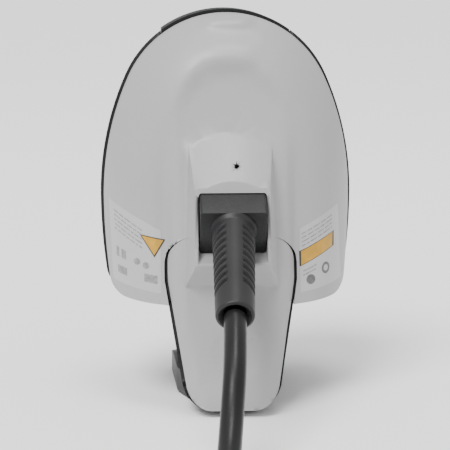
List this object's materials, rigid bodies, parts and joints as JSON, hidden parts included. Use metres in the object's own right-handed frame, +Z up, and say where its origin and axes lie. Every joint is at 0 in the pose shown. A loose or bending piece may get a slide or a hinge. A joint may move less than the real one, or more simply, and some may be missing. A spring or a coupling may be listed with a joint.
{
  "type": "handheld barcode scanner",
  "caption": "Upright laser barcode scanner with an egg-shaped head, a curved handle and foot, a top scan button and a plug-in data cable with a ribbed boot, coiled on the table.",
  "frame": {"origin": "on the table, under the middle of the case's width and depth", "axes": "+Z up, the scan window faces -Y and the cable leaves towards +Y"},
  "size_m": [0.1202, 0.2597, 0.1315],
  "materials": {
    "aluminium": "satin",
    "amber": "clear",
    "board": "satin",
    "brass": "satin",
    "chip": "matte",
    "clear": "clear",
    "cord": "satin",
    "glass": "polished",
    "housing": "satin",
    "mirror": "polished",
    "rubber": "matte",
    "shell": "satin",
    "steel": "satin",
    "trim": "gloss",
    "weight": "plain",
    "white": "satin"
  },
  "bodies": {
    "scanner": {"rear_shell": "shell", "front_housing": "housing", "window_bezel": "trim", "window_gasket": "rubber", "scan_window": "glass", "light_pipe": "amber", "button_switch": "chip", "button_board": "board", "status_leds": "amber", "optics_chassis": "chip", "pattern_mirrors": "mirror", "collecting_mirror": "mirror", "motor_bracket": "steel", "motor_bearings": "brass", "motor_stator": "steel", "laser_lens": "clear", "laser_module": "brass", "laser_bracket": "aluminium", "photodetector": "chip", "main_board": "board", "board_chips": "chip", "board_connectors": "white", "beeper": "chip", "cable_socket": "chip", "socket_contacts": "brass", "port_board": "board", "flat_cable": "white", "base_cover": "housing", "foot_pads": "rubber", "base_weight": "weight", "mount_insert": "brass", "housing_screws": "steel", "plug_block": "cord", "modular_plug": "clear", "plug_contacts": "brass", "strain_relief": "cord", "interface_cable": "cord", "cable_tail": "cord", "cable_tie": "rubber", "cable_coil": "cord", "usb_plug_grip": "cord", "usb_plug_shell": "steel", "usb_contacts": "white", "board_screws": "steel", "chassis_screws": "steel", "motor_screws": "steel", "cover_screws": "steel", "button_springs": "steel"},
    "button": {"scan_button": "housing"},
    "spinner": {"motor_rotor": "aluminium", "polygon_mirror": "mirror", "motor_shaft": "steel"},
    "latch": {"plug_latch": "clear"}
  },
  "joints": [
    {"name": "button_press", "type": "slide", "parent": "scanner", "child": "button", "axis": [0, 0, -1], "range_m": [0, 0.0008], "stiffness_N_per_m": 1500, "deforming": ["button_springs"]},
    {"name": "mirror_spin", "type": "hinge", "parent": "scanner", "child": "spinner", "pos_m": [0, -0.0175, 0.056], "axis": [0, 0, 1], "continuous": true},
    {"name": "latch_flex", "type": "hinge", "parent": "scanner", "child": "latch", "pos_m": [0, 0.01222, 0.07916], "axis": [-1, 0, 0], "range_deg": [0, 2.5], "stiffness_Nm_per_rad": 0.5}
  ]
}
